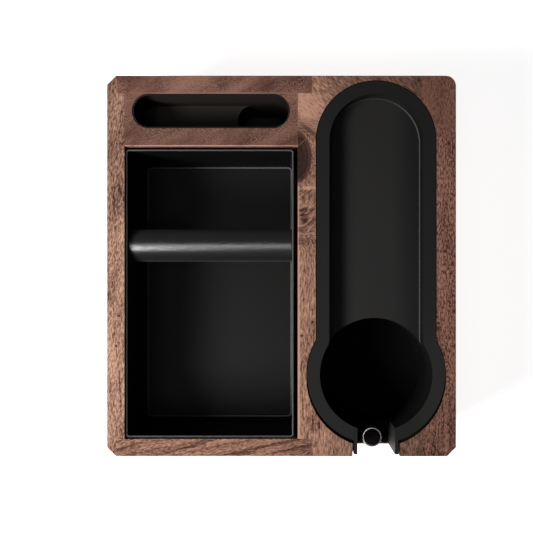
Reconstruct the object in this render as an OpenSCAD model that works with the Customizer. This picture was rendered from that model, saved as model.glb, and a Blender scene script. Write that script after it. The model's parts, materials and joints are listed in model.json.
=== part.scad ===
// Walnut espresso bar station: a lift-out knock bin, a tool slot and a portafilter
// cradle with a height-adjustable handle rest.
// Millimetres. +X right, +Y to the rear, +Z up.
// The origin is on the surface that it stands on, under the middle of its outline.

/* [Stand] */
// Overall width
stand_w = 210; // [200:1:225]
// Overall depth, front to rear
stand_d = 229; // [222:1:240]
// Overall height, feet included
stand_h = 100; // [96:1:110]
// Height of the rubber feet
foot_h = 2; // [1.5:0.5:4]
// Radius of a rubber foot
foot_r = 8; // [6:0.5:9]
// Distance from a foot's centre to the outline
foot_inset = 14; // [14:0.5:18]
// Flat cut off three of the outer vertical corners
corner_cut = 5.4; // [4:0.1:5.5]
// Radius of the fourth, the right rear corner
rear_corner_r = 6.2; // [4:0.1:7]

/* [Timber] */
// Thickness of the left and front boards, and of the tool block's tongues
board_t = 10.5; // [9.5:0.5:11]
// Depth that the cross pieces lap into the left board
lap_left = 4.9; // [4.2:0.1:4.9]
// Length that the cross pieces lap into the cradle block
lap_right = 8.5; // [6:0.5:10]
// Width of the cradle block
block_w = 95.2; // [94:0.1:97]
// Width of the cradle block's outer glued stave
stave_w = 20.5; // [18:0.5:24]
// Depth of the tool block, front to rear
tool_block_d = 42.5; // [40:0.5:46]
// Thickness of the bay's floor panel
base_t = 9; // [6:0.5:10]

/* [Knock bin] */
// Height of the timber's top above the bin's rim
bin_drop = 2; // [1:0.5:4]
// Thickness of the bin's steel sheet
bin_t = 1; // [0.8:0.1:1.5]
// Play between the bin and the bay: left, right, front, rear
bin_play = [0.4, 2.4, 0.6, 1.5];
// Radius of the knock bar's rubber sleeve
bar_r = 10; // [8:0.5:12]
// Radius of the knock bar's steel core
bar_core_r = 6; // [5:0.5:7]
// Depth of the bar's axis below the rim
bar_drop = 15; // [13:0.5:25]
// Distance from the bin's rear wall to the bar's axis
bar_back = 57.5; // [45:0.5:80]

/* [Tool slot] */
// Length of the slot in the timber
slot_l = 95.2; // [90:0.1:96]
// Width of the slot in the timber
tool_slot_w = 20.8; // [19:0.1:22]
// Thickness of the timber behind the slot
tool_slot_back = 10.8; // [10:0.1:12]
// Depth of the shelf
shelf_depth = 36; // [30:1:60]
// Length of the deep well at the slot's right end
well_l = 33.8; // [26:0.1:40]
// Depth of the well
well_depth = 82; // [65:1:84]

/* [Cradle] */
// Distance from the stand's right side to the cradle's centre line
cradle_inset = 48; // [47:0.5:48.5]
// Radius of the well that a portafilter's basket sits in
basket_r = 33.9; // [32:0.1:34]
// Distance from the front face to the well's centre
basket_front = 48.9; // [48:0.1:52]
// Depth of the well
basket_depth = 66; // [60:1:75]
// Radius of the handle channel's round end, which is half its width
channel_r = 28.2; // [26:0.1:28.5]
// Distance from the rear face to the centre of that round end
channel_back = 39.1; // [39:0.1:45]
// Depth of the channel
channel_depth = 14; // [12:0.5:18]
// Radius of the blend where the channel's walls run into the well
blend_r = 9; // [8.8:0.1:12]
// Width of the flat flange around the cradle
flange_w = 7.7; // [7:0.1:7.8]
// Half of the front slot's width
neck_r = 11.3; // [10.5:0.1:12]
// Depth of the front slot's sill
sill_depth = 43; // [40:0.5:50]
// Wall thickness of the moulding
shell_t = 2.6; // [2:0.1:2.8]

/* [Handle rest] */
// Radius of the steel cap
cap_r = 6.2; // [5.7:0.1:6.3]
// Height of the rest above the sill
rest_h = 13; // [12:0.5:16]
// Radius of the screw
screw_r = 3; // [2.5:0.5:3]

/* [Hidden] */
$fn = 96;
EPS = 0.01;

left_x = -stand_w / 2;
right_x = stand_w / 2;
front_y = -stand_d / 2;
rear_y = stand_d / 2;
top_z = stand_h;

// Bay that holds the bin
bay_x0 = left_x + board_t;
bay_x1 = right_x - block_w;
bay_y0 = front_y + board_t;
bay_y1 = rear_y - tool_block_d;
seam_x = right_x - stave_w;
lap_x0 = bay_x0 - lap_left;
lap_x1 = bay_x1 + lap_right;

// Rebates that the floor panel sits in: narrow in the boards, wide where screws go
rebate_narrow = 4;
rebate_wide = 12;
base_z1 = foot_h + base_t;
base_x0 = bay_x0 - rebate_narrow;
base_x1 = bay_x1 + rebate_wide;
base_y0 = bay_y0 - rebate_narrow;
base_y1 = bay_y1 + rebate_wide;

// Countersunk wood screws through the floor panel
wood_screw_r = 1.6;
wood_screw_head_r = 3.4;
wood_screw_head_h = 2;
wood_screw_l = 20;
wood_screw_play = 0.05;
wood_screw_edge = 6;
wood_screw_places = [
    [bay_x1 + wood_screw_edge, bay_y0 + 25],
    [bay_x1 + wood_screw_edge, bay_y1 - 45],
    [bay_x0 + 18, bay_y1 + wood_screw_edge],
    [bay_x1 - 28, bay_y1 + wood_screw_edge],
];

// Dowels between the tool block and its neighbours, each at [x0, x1, y, z]
dowel_r = 3;
dowel_play = 0.05;
dowel_y = bay_y1 + 5.5;
dowel_low_z = 30;
dowel_high_z = 52;
dowels = [
    for (z = [dowel_low_z, dowel_high_z]) [bay_x0 - 6, bay_x0 + 18, dowel_y, z],
    for (z = [dowel_low_z, dowel_high_z]) [bay_x1 - 18, bay_x1 + 8, dowel_y, z],
];

// Tool slot
tool_cy = rear_y - tool_slot_back - tool_slot_w / 2;
tool_x1 = bay_x1 - 4.7;
tool_x0 = tool_x1 - slot_l;
tool_liner_t = 0.8;
tool_liner_play = 0.1;
tool_liner_drop = 0.5;
tool_r = tool_slot_w / 2;
shelf_z = top_z - shelf_depth;
well_x0 = tool_x1 - well_l;
well_z = top_z - well_depth;

// Bin
bin_x0 = bay_x0 + bin_play[0];
bin_x1 = bay_x1 - bin_play[1];
bin_y0 = bay_y0 + bin_play[2];
bin_y1 = bay_y1 - bin_play[3];
bin_z0 = base_z1;
bin_z1 = top_z - bin_drop;
bin_corner_r = 2;
bar_y = bin_y1 - bar_back;
bar_z = bin_z1 - bar_drop;
bar_spigot_r = 4;
bar_end_gap = 0.1;
spigot_play = 0.05;

// Cradle
cradle_x = right_x - cradle_inset;
basket_y = front_y + basket_front;
channel_y = rear_y - channel_back;
channel_z = top_z - channel_depth;
basket_z = top_z - basket_depth;
blend_x = channel_r + blend_r;      // blend's centre, from the well's centre
blend_y = sqrt(pow(basket_r + blend_r, 2) - pow(blend_x, 2));
blend_overlap = 0.03;   // how far the blend's arc runs into the walls
sill_z = top_z - sill_depth;
sill_t = 4;
leg_front_y = front_y + 1.1;   // front of the slot's side walls
sill_front_y = leg_front_y + 1.1;
neck_wall = 2;
flange_t = 3;
pocket_gap = 0.6;       // around the moulding below its flange
recess_gap = 0.5;       // around the flange
recess_shift = 1.6;     // extra room in front of the flange's round part
neck_gap = 0.9;

// Handle rest
rest_y = front_y + 6.9;
rest_z = sill_z + rest_h;
nut_h = 3;
nut_r = cap_r - 0.6;
insert_r = 3.8;
cap_gap = 0.1;
pad_proud = 0.4;
cap_z0 = sill_z + nut_h + cap_gap;
cap_z1 = rest_z - pad_proud;
pad_r = cap_r - 1.05;
pad_seat_r = pad_r + 0.05;
pad_t = 2.8;
pad_seat_z = rest_z - pad_t - 0.05;
screw_play = 0.05;
screw_z0 = sill_z - 18;
screw_z1 = pad_seat_z - 1;
screw_well_r = 3.6;
screw_well_z = screw_z0 - 3;

WALNUT_LIGHT = [0.50, 0.33, 0.25];
WALNUT = [0.44, 0.29, 0.23];
WALNUT_DARK = [0.38, 0.25, 0.20];
BLACK_PLASTIC = [0.10, 0.10, 0.10];
BLACK_STEEL = [0.08, 0.08, 0.08];
BLACK_RUBBER = [0.05, 0.05, 0.05];
STEEL = [0.75, 0.75, 0.76];
BRASS = [0.80, 0.65, 0.30];
BEECH = [0.80, 0.68, 0.50];
PLYWOOD = [0.62, 0.48, 0.36];

FOOT_PLACES = [
    ["foot_front_left", -1, -1],
    ["foot_front_right", 1, -1],
    ["foot_rear_left", -1, 1],
    ["foot_rear_right", 1, 1],
];

// ---- shared shapes -------------------------------------------------------------

// Box between two corners
module block(x0, x1, y0, y1, z0, z1) {
    translate([x0, y0, z0])
        cube([x1 - x0, y1 - y0, z1 - z0]);
}

// Upright cylinder between two heights
module post(x, y, r, z0, z1) {
    translate([x, y, z0])
        cylinder(r = r, h = z1 - z0);
}

// Cylinder along X
module rod(x0, x1, y, z, r) {
    translate([x0, y, z])
        rotate([0, 90, 0])
            cylinder(r = r, h = x1 - x0);
}

// Upright slot with round ends along X
module stadium(x0, x1, y, r, z0, z1) {
    post(x0 + r, y, r, z0, z1);
    post(x1 - r, y, r, z0, z1);
    block(x0 + r, x1 - r, y - r, y + r, z0, z1);
}

// Box with rounded upright corners
module rounded_box(x0, x1, y0, y1, z0, z1, r) {
    block(x0 + r, x1 - r, y0, y1, z0, z1);
    block(x0, x1, y0 + r, y1 - r, z0, z1);
    for (x = [x0 + r, x1 - r], y = [y0 + r, y1 - r])
        post(x, y, r, z0, z1);
}

// Everything outside a flat cut across an outer corner; sx and sy pick the corner
module corner_waste(sx, sy) {
    side = corner_cut * sqrt(2);
    translate([sx * stand_w / 2, sy * stand_d / 2, foot_h - 1])
        rotate([0, 0, 45])
            translate([-side / 2, -side / 2, 0])
                cube([side, side, stand_h + 2]);
}

// Everything outside the round right rear corner
module round_corner_waste() {
    difference() {
        block(right_x - rear_corner_r, right_x + 1, rear_y - rear_corner_r, rear_y + 1,
              foot_h - 1, top_z + 1);
        post(right_x - rear_corner_r, rear_y - rear_corner_r, rear_corner_r,
             foot_h - 2, top_z + 2);
    }
}

// Room for the floor panel
module floor_room() {
    block(base_x0, base_x1, base_y0, base_y1, foot_h - 1, base_z1);
}

// Room for the wood screws
module floor_screw_room() {
    for (p = wood_screw_places)
        wood_screw(p[0], p[1], wood_screw_play);
}

// One countersunk wood screw, grown by play
module wood_screw(x, y, play) {
    translate([x, y, foot_h]) {
        cylinder(r1 = wood_screw_head_r + play, r2 = wood_screw_r + play, h = wood_screw_head_h);
        cylinder(r = wood_screw_r + play, h = wood_screw_l + play);
    }
}

module dowel_set(r) {
    for (d = dowels)
        rod(d[0], d[1], d[2], d[3], r);
}

// Tongue and notch shape at a right-hand lap joint
module lap_notch(y0, y1) {
    block(bay_x1 - EPS, lap_x1, y0, y1, foot_h - 1, top_z + 1);
}

// ---- cradle outline ------------------------------------------------------------

module basket_solid(grow, z0, z1, shift = 0) {
    post(cradle_x, basket_y - shift, basket_r + grow, z0, z1);
}

module channel_solid(grow, z0, z1) {
    r = channel_r + grow;
    post(cradle_x, channel_y, r, z0, z1);
    block(cradle_x - r, cradle_x + r, basket_y, channel_y, z0, z1);
    for (side = [-1, 1])
        corner_blend(side, grow, z0, z1);
}

// Fills the sharp corner between the channel's wall and the well, outside an arc
// that runs into both
module corner_blend(side, grow, z0, z1) {
    wall_x = channel_r + grow;
    reach = (basket_r + grow) / (basket_r + blend_r);
    inset = 1.5;
    translate([cradle_x, basket_y, z0])
        difference() {
            linear_extrude(z1 - z0)
                polygon([
                    [side * (wall_x - 3), blend_y - 8],
                    [side * (wall_x - inset), blend_y],
                    [side * (blend_x - blend_overlap), blend_y - blend_overlap],
                    [side * (blend_x * reach - inset), blend_y * reach - inset],
                ]);
            translate([side * blend_x, blend_y, -1])
                cylinder(r = blend_r - grow + blend_overlap, h = z1 - z0 + 2);
        }
}

module neck_solid(grow, y0, z0, z1) {
    w = neck_r + grow;
    block(cradle_x - w, cradle_x + w, y0, basket_y, z0, z1);
}

// Pocket in the cradle block that the moulding drops into
module cradle_pocket() {
    flange_z = top_z - flange_t;
    recess = flange_w + recess_gap;
    basket_solid(recess, flange_z, top_z + 1);
    basket_solid(recess, flange_z, top_z + 1, recess_shift);
    channel_solid(recess, flange_z, top_z + 1);
    basket_solid(shell_t + pocket_gap, basket_z - shell_t - pocket_gap, top_z + 1);
    channel_solid(shell_t + pocket_gap, channel_z - shell_t - pocket_gap, top_z + 1);
    neck_solid(neck_wall + neck_gap, front_y - 1, sill_z - sill_t, top_z + 1);
    post(cradle_x, rest_y, screw_well_r, screw_well_z, top_z);
}

// ---- timber --------------------------------------------------------------------

module left_board() {
    color(WALNUT_LIGHT)
        difference() {
            block(left_x, bay_x0, front_y, rear_y, foot_h, top_z);
            for (sy = [-1, 1]) {
                corner_waste(-1, sy);
                block(lap_x0, bay_x0 + 1, sy < 0 ? front_y - 1 : rear_y - board_t,
                      sy < 0 ? bay_y0 : rear_y + 1, foot_h - 1, top_z + 1);
            }
            floor_room();
            dowel_set(dowel_r + dowel_play);
        }
}

module front_board() {
    color(WALNUT)
        difference() {
            block(lap_x0, lap_x1, front_y, bay_y0, foot_h, top_z);
            floor_room();
        }
}

module tool_block() {
    color(WALNUT_DARK)
        difference() {
            union() {
                block(bay_x0, bay_x1, bay_y1, rear_y, foot_h, top_z);
                block(lap_x0, lap_x1, rear_y - board_t, rear_y, foot_h, top_z);
            }
            stadium(tool_x0, tool_x1, tool_cy, tool_r,
                    shelf_z - tool_liner_t, top_z + 1);
            stadium(well_x0, tool_x1, tool_cy, tool_r,
                    well_z - tool_liner_t, top_z + 1);
            floor_room();
            floor_screw_room();
            dowel_set(dowel_r + dowel_play);
        }
}

// The cradle block before it is split at the glue line
module cradle_block() {
    difference() {
        block(bay_x1, right_x, front_y, rear_y, foot_h, top_z);
        corner_waste(1, -1);
        round_corner_waste();
        lap_notch(front_y - 1, bay_y0);
        lap_notch(rear_y - board_t, rear_y + 1);
        cradle_pocket();
        floor_room();
        floor_screw_room();
        dowel_set(dowel_r + dowel_play);
    }
}

module cradle_block_inner_stave() {
    color(WALNUT)
        intersection() {
            cradle_block();
            block(bay_x1 - 1, seam_x, front_y - 1, rear_y + 1, 0, top_z + 1);
        }
}

module cradle_block_outer_stave() {
    color(WALNUT_DARK)
        intersection() {
            cradle_block();
            block(seam_x, right_x + 1, front_y - 1, rear_y + 1, 0, top_z + 1);
        }
}

module bay_floor() {
    color(PLYWOOD)
        difference() {
            block(base_x0, base_x1, base_y0, base_y1, foot_h, base_z1);
            floor_screw_room();
        }
}

module floor_screws() {
    color(STEEL)
        for (p = wood_screw_places)
            wood_screw(p[0], p[1], 0);
}

module joint_dowels() {
    color(BEECH)
        dowel_set(dowel_r);
}

module tool_slot_liner() {
    r_out = tool_r - tool_liner_play;
    r_in = r_out - tool_liner_t;
    x0 = tool_x0 + tool_liner_play;
    x1 = tool_x1 - tool_liner_play;
    wx0 = well_x0 + tool_liner_play;
    z1 = top_z - tool_liner_drop;
    t = tool_liner_t;
    color(BLACK_PLASTIC)
        difference() {
            union() {
                stadium(x0, x1, tool_cy, r_out, shelf_z - t, z1);
                stadium(wx0, x1, tool_cy, r_out, well_z - t, z1);
            }
            stadium(x0 + t, x1 - t, tool_cy, r_in, shelf_z, z1 + 1);
            stadium(wx0 + t, x1 - t, tool_cy, r_in, well_z, z1 + 1);
        }
}

module foot(sx, sy) {
    color(BLACK_RUBBER)
        post(sx * (stand_w / 2 - foot_inset), sy * (stand_d / 2 - foot_inset), foot_r, 0, foot_h);
}

// ---- knock bin -----------------------------------------------------------------

module bin_shell() {
    color(BLACK_STEEL)
        difference() {
            rounded_box(bin_x0, bin_x1, bin_y0, bin_y1, bin_z0, bin_z1, bin_corner_r);
            rounded_box(bin_x0 + bin_t, bin_x1 - bin_t, bin_y0 + bin_t, bin_y1 - bin_t,
                        bin_z0 + bin_t, bin_z1 + 1, bin_corner_r - bin_t);
            rod(bin_x0 - 1, bin_x1 + 1, bar_y, bar_z, bar_spigot_r + spigot_play);
        }
}

module knock_bar_core() {
    inner_x0 = bin_x0 + bin_t;
    inner_x1 = bin_x1 - bin_t;
    color(STEEL) {
        rod(inner_x0, inner_x1, bar_y, bar_z, bar_core_r);
        rod(bin_x0, bin_x1, bar_y, bar_z, bar_spigot_r);
    }
}

module knock_bar_sleeve() {
    x0 = bin_x0 + bin_t + bar_end_gap;
    x1 = bin_x1 - bin_t - bar_end_gap;
    color(BLACK_RUBBER)
        difference() {
            rod(x0, x1, bar_y, bar_z, bar_r);
            rod(x0 - 1, x1 + 1, bar_y, bar_z, bar_core_r);
        }
}

// ---- cradle --------------------------------------------------------------------

module cradle_tray() {
    flange_z = top_z - flange_t;
    color(BLACK_PLASTIC)
        difference() {
            union() {
                basket_solid(flange_w, flange_z, top_z);
                channel_solid(flange_w, flange_z, top_z);
                basket_solid(shell_t, basket_z - shell_t, top_z);
                channel_solid(shell_t, channel_z - shell_t, top_z);
                neck_solid(neck_wall, leg_front_y, sill_z - sill_t, top_z);
            }
            basket_solid(0, basket_z, top_z + 1);
            channel_solid(0, channel_z, top_z + 1);
            neck_solid(0, leg_front_y - 1, sill_z, top_z + 1);
            block(cradle_x - neck_r, cradle_x + neck_r, leg_front_y - 1, sill_front_y,
                  sill_z - sill_t - 1, sill_z + 1);
            post(cradle_x, rest_y, insert_r, sill_z - sill_t - 1, sill_z + 1);
        }
}

module rest_insert() {
    color(BRASS)
        difference() {
            post(cradle_x, rest_y, insert_r, sill_z - sill_t, sill_z);
            post(cradle_x, rest_y, screw_r + screw_play, sill_z - sill_t - 1, sill_z + 1);
        }
}

module rest_lock_nut() {
    color(STEEL)
        difference() {
            post(cradle_x, rest_y, nut_r, sill_z, sill_z + nut_h);
            post(cradle_x, rest_y, screw_r + screw_play, sill_z - 1, sill_z + nut_h + 1);
        }
}

module rest_pad() {
    color(BLACK_RUBBER)
        post(cradle_x, rest_y, pad_r, rest_z - pad_t, rest_z);
}

module rest_cap() {
    color(STEEL)
        difference() {
            post(cradle_x, rest_y, cap_r, cap_z0, cap_z1);
            post(cradle_x, rest_y, pad_seat_r, pad_seat_z, cap_z1 + 1);
            post(cradle_x, rest_y, screw_r, cap_z0 - 1, screw_z1);
        }
}

module rest_screw() {
    color(STEEL)
        post(cradle_x, rest_y, screw_r, screw_z0, screw_z1);
}

// ---- assembly ------------------------------------------------------------------

left_board();
front_board();
tool_block();
cradle_block_inner_stave();
cradle_block_outer_stave();
bay_floor();
floor_screws();
joint_dowels();
tool_slot_liner();
for (f = FOOT_PLACES)
    foot(f[1], f[2]);
bin_shell();
knock_bar_core();
knock_bar_sleeve();
cradle_tray();
rest_insert();
rest_lock_nut();
rest_pad();
rest_cap();
rest_screw();
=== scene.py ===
"""Looks of a walnut espresso bar station with a knock bin, a tool slot and a portafilter cradle.

Everything is in metres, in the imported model's frame: +X right, +Y to the rear, +Z up.
"""

import json
import math

import bmesh
import bpy
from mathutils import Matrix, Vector


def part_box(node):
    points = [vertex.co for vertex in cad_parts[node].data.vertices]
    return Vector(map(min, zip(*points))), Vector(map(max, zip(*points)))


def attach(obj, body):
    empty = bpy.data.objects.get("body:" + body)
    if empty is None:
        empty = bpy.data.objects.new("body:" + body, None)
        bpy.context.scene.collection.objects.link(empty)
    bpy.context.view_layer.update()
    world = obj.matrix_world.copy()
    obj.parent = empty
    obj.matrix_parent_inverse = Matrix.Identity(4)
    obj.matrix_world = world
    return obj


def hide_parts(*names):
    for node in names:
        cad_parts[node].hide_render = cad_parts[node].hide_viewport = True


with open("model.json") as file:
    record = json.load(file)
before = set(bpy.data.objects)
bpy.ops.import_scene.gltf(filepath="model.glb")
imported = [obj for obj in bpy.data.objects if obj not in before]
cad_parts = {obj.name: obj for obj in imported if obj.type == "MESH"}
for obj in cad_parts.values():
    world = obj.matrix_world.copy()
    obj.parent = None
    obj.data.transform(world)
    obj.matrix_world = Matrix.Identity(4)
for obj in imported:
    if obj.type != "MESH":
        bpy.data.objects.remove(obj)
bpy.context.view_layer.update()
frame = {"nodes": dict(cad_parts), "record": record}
MOUNTS = {m["name"]: m for m in frame["record"]["mounts"]}
MM = 0.001

# ---- sizes that the frame's boxes don't say ----

CORNER_CUT = 5.4 * MM
REAR_CORNER_R = 6.2 * MM  # the right rear corner is rounded instead of cut
RECESS_GAP = 0.5 * MM
RECESS_SHIFT = 1.6 * MM
POCKET_GAP = 0.6 * MM
NECK_GAP = 0.9 * MM
FLANGE_W = 7.7 * MM
FLANGE_T = 3.0 * MM
SHELL_T = 2.6 * MM
CHANNEL_R = 28.2 * MM
CHANNEL_DEPTH = 14.0 * MM
CHANNEL_FILLET = 0.9 * MM
WELL_FILLET = 1.5 * MM
BLEND_R = 9.0 * MM
NECK_R = 11.3 * MM
NECK_WALL = 2.0 * MM
SILL_DEPTH = 43.0 * MM
SILL_T = 4.0 * MM
SILL_SET_BACK = 1.1 * MM
SCREW_WELL_R = 3.6 * MM
SCREW_WELL_BELOW = 3.0 * MM
SHEET_T = 1.0 * MM
OUTER_FILLET = 2.2 * MM
FLOOR_FILLET = 1.1 * MM
LINER_T = 0.8 * MM
LINER_PLAY = 0.1 * MM
SHELF_DEPTH = 36.0 * MM
WELL_L = 33.8 * MM
WOOD_SCREW_HEAD_R = 3.4 * MM
WOOD_SCREW_R = 1.6 * MM
WOOD_SCREW_HEAD_H = 2.0 * MM
FASTENER_PLAY = 0.05 * MM
BAR_SPIGOT_R = 4.0 * MM  # of the knock bar, through the walls
KNOT = (9.9, 65.5)  # middle of the cradle block's knot, in mm

# ---- places, from the frame ----

LEFT_LO, LEFT_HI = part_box("left_board")
FRONT_LO, FRONT_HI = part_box("front_board")
TOOL_LO, TOOL_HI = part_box("tool_block")
INNER_LO, INNER_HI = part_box("cradle_block_inner_stave")
OUTER_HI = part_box("cradle_block_outer_stave")[1]
FLOOR_LO, FLOOR_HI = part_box("bay_floor")
BIN_LO, BIN_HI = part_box("bin_shell")
LINER_LO, LINER_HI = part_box("tool_slot_liner")
TRAY_LO, TRAY_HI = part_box("cradle_tray")

TOP = LEFT_HI.z
WELL_R = MOUNTS["basket_well"]["dims"]["r_mm"] * MM
WELL_X, WELL_Y = MOUNTS["basket_well"]["pos_m"][:2]
CHANNEL_Y = TRAY_HI.y - FLANGE_W - CHANNEL_R
CHANNEL_Z = TOP - CHANNEL_DEPTH
WELL_Z = TRAY_LO.z + SHELL_T
SILL_Z = TOP - SILL_DEPTH
POCKET_Z = CHANNEL_Z - SHELL_T - POCKET_GAP
RECESS_Z = TOP - FLANGE_T
BAY_X0, BAY_X1 = LEFT_HI.x, INNER_LO.x
BAY_Y0, BAY_Y1 = FRONT_HI.y, TOOL_LO.y
LAP_X0, LAP_X1 = TOOL_LO.x, TOOL_HI.x
LAP_Y = -FRONT_HI.y
SEAM_X = INNER_HI.x
REST_X, REST_Y = MOUNTS["handle_rest"]["pos_m"][:2]
ABOVE = 2 * MM  # how far a cutter reaches past the top


# ---- meshes ----


def new_object(name, data):
    made = bpy.data.objects.new(name, data)
    bpy.context.scene.collection.objects.link(made)
    return made


def from_bmesh(name, bm):
    bmesh.ops.recalc_face_normals(bm, faces=bm.faces)
    mesh = bpy.data.meshes.new(name)
    bm.to_mesh(mesh)
    bm.free()
    return new_object(name, mesh)


def loft(name, rings, closed=False):
    """A solid through rings of equally many points, capped unless closed joins last to first."""
    bm = bmesh.new()
    rows = [[bm.verts.new(p) for p in ring] for ring in rings]
    count = len(rows[0])
    pairs = list(zip(rows, rows[1:]))
    if closed:
        pairs.append((rows[-1], rows[0]))
    for low, high in pairs:
        for i in range(count):
            j = (i + 1) % count
            bm.faces.new((low[i], low[j], high[j], high[i]))
    if not closed:
        bm.faces.new(rows[0][::-1])
        bm.faces.new(rows[-1])
    return from_bmesh(name, bm)


def at_height(points, z):
    return [(x, y, z) for x, y in points]


def arc(cx, cy, r, start, end, steps):
    """Points on an arc, in degrees, both ends included."""
    turn = (end - start) / steps
    angles = [math.radians(start + turn * i) for i in range(steps + 1)]
    return [(cx + r * math.cos(a), cy + r * math.sin(a)) for a in angles]


def rounded_rectangle(x0, x1, y0, y1, r, grow, steps):
    """Outline of a rectangle with round corners, offset outwards by grow."""
    inner = (x0 + r, x1 - r, y0 + r, y1 - r)
    radius = max(r + grow, 1e-5)
    slack = min(r + grow, 0.0)  # a negative radius moves the corner's centre instead
    corners = [
        (inner[1] + slack, inner[3] + slack, 0),
        (inner[0] - slack, inner[3] + slack, 90),
        (inner[0] - slack, inner[2] - slack, 180),
        (inner[1] + slack, inner[2] - slack, 270),
    ]
    points = []
    for cx, cy, start in corners:
        points += arc(cx, cy, radius, start, start + 90, steps)
    return points


def circle(cx, cy, r, steps=96):
    return arc(cx, cy, r, 0, 360, steps)[:-1]


def level_ring(cx, cy, z, radii):
    """A ring about an upright axis, with one point for each radius."""
    ring = []
    for i, r in enumerate(radii):
        a = 2 * math.pi * i / len(radii)
        ring.append((cx + r * math.cos(a), cy + r * math.sin(a), z))
    return ring


def rings_about_x(y, z, pairs, steps):
    """Rings about a line along X, from (x, radius) pairs."""
    turn = circle(0, 0, 1, steps)
    return [[(x, y + r * c, z + r * s) for c, s in turn] for x, r in pairs]


def keyhole(grow):
    """Outline of the cradle, offset by grow: a round-ended channel that blends into the well."""
    blend_x = CHANNEL_R + BLEND_R
    blend_y = math.sqrt((WELL_R + BLEND_R) ** 2 - blend_x**2)
    lean = math.degrees(math.atan2(blend_y, blend_x))
    right, left = WELL_X + blend_x, WELL_X - blend_x
    y = WELL_Y + blend_y
    points = arc(WELL_X, WELL_Y, WELL_R + grow, -180 - lean, lean, 72)
    points += arc(right, y, BLEND_R - grow, 180 + lean, 180, 6)[1:]
    points += arc(WELL_X, CHANNEL_Y, CHANNEL_R + grow, 0, 180, 48)
    points += arc(left, y, BLEND_R - grow, 0, -lean, 6)[:-1]
    return points


def rounded_profile(z0, z1, low_r):
    """(offset, height) pairs up the side of a prism whose bottom edge is rounded."""
    return arc(-low_r, z0 + low_r, low_r, -90, 0, 6) + [(0.0, z1)]


def prism(name, outline, profile):
    """A solid whose outline(offset) follows a profile of (offset, height) pairs."""
    return loft(name, [at_height(outline(offset), z) for offset, z in profile])


def block(name, x0, x1, y0, y1, z0, z1):
    outline = [(x0, y0), (x1, y0), (x1, y1), (x0, y1)]
    return loft(name, [at_height(outline, z0), at_height(outline, z1)])


def lathe(name, profile):
    """A capped solid of revolution about the handle rest's axis, from (radius, height) pairs."""
    rings = [at_height(circle(REST_X, REST_Y, r, 64), z) for r, z in profile]
    return loft(name, rings)


def apply_modifiers(obj):
    bpy.context.view_layer.update()
    graph = bpy.context.evaluated_depsgraph_get()
    mesh = bpy.data.meshes.new_from_object(obj.evaluated_get(graph))
    old = obj.data
    obj.modifiers.clear()
    obj.data = mesh
    bpy.data.meshes.remove(old)
    return obj


def boolean(obj, operation, others):
    for other in others:
        step = obj.modifiers.new("boolean", "BOOLEAN")
        step.operation = operation
        step.solver = "EXACT"
        step.object = other
        apply_modifiers(obj)
    return obj


def union(obj, *others):
    boolean(obj, "UNION", others)
    discard(*others)
    return obj


def cut(obj, *cutters):
    return boolean(obj, "DIFFERENCE", cutters)


def discard(*objects):
    for obj in objects:
        bpy.data.objects.remove(obj)


def ease(obj, width, weight=None, segments=3):
    """Rounds the sharp edges. weight(middle of edge) gives the share of the width for an edge."""
    bm = bmesh.new()
    bm.from_mesh(obj.data)
    bmesh.ops.remove_doubles(bm, verts=bm.verts, dist=0.004 * MM)
    flat = math.radians(0.4)
    bmesh.ops.dissolve_limit(bm, angle_limit=flat, verts=bm.verts, edges=bm.edges)
    layer = bm.edges.layers.float.new("bevel_weight_edge")
    sharp = math.radians(32)
    for edge in bm.edges:
        if len(edge.link_faces) != 2 or edge.calc_face_angle(0.0) < sharp:
            continue
        middle = (edge.verts[0].co + edge.verts[1].co) / 2
        edge[layer] = weight(middle) if weight else 1.0
    bm.to_mesh(obj.data)
    bm.free()
    step = obj.modifiers.new("ease", "BEVEL")
    step.limit_method = "WEIGHT"
    step.width = width
    step.segments = segments
    step.miter_outer = "MITER_ARC"
    step.harden_normals = False
    apply_modifiers(obj)
    return smooth(obj)


def smooth(obj, angle=40):
    """Smooth shading up to an angle, with the normals of the larger faces kept flat."""
    obj.data.shade_smooth()
    obj.data.set_sharp_from_angle(angle=math.radians(angle))
    step = obj.modifiers.new("normals", "WEIGHTED_NORMAL")
    step.keep_sharp = True
    step.weight = 100
    return apply_modifiers(obj)


def finish_piece(obj, body, slot, material, *nodes):
    obj.data.materials.clear()
    obj.data.materials.append(material)
    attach(obj, body)
    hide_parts(*nodes)


# ---- node materials ----


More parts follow.
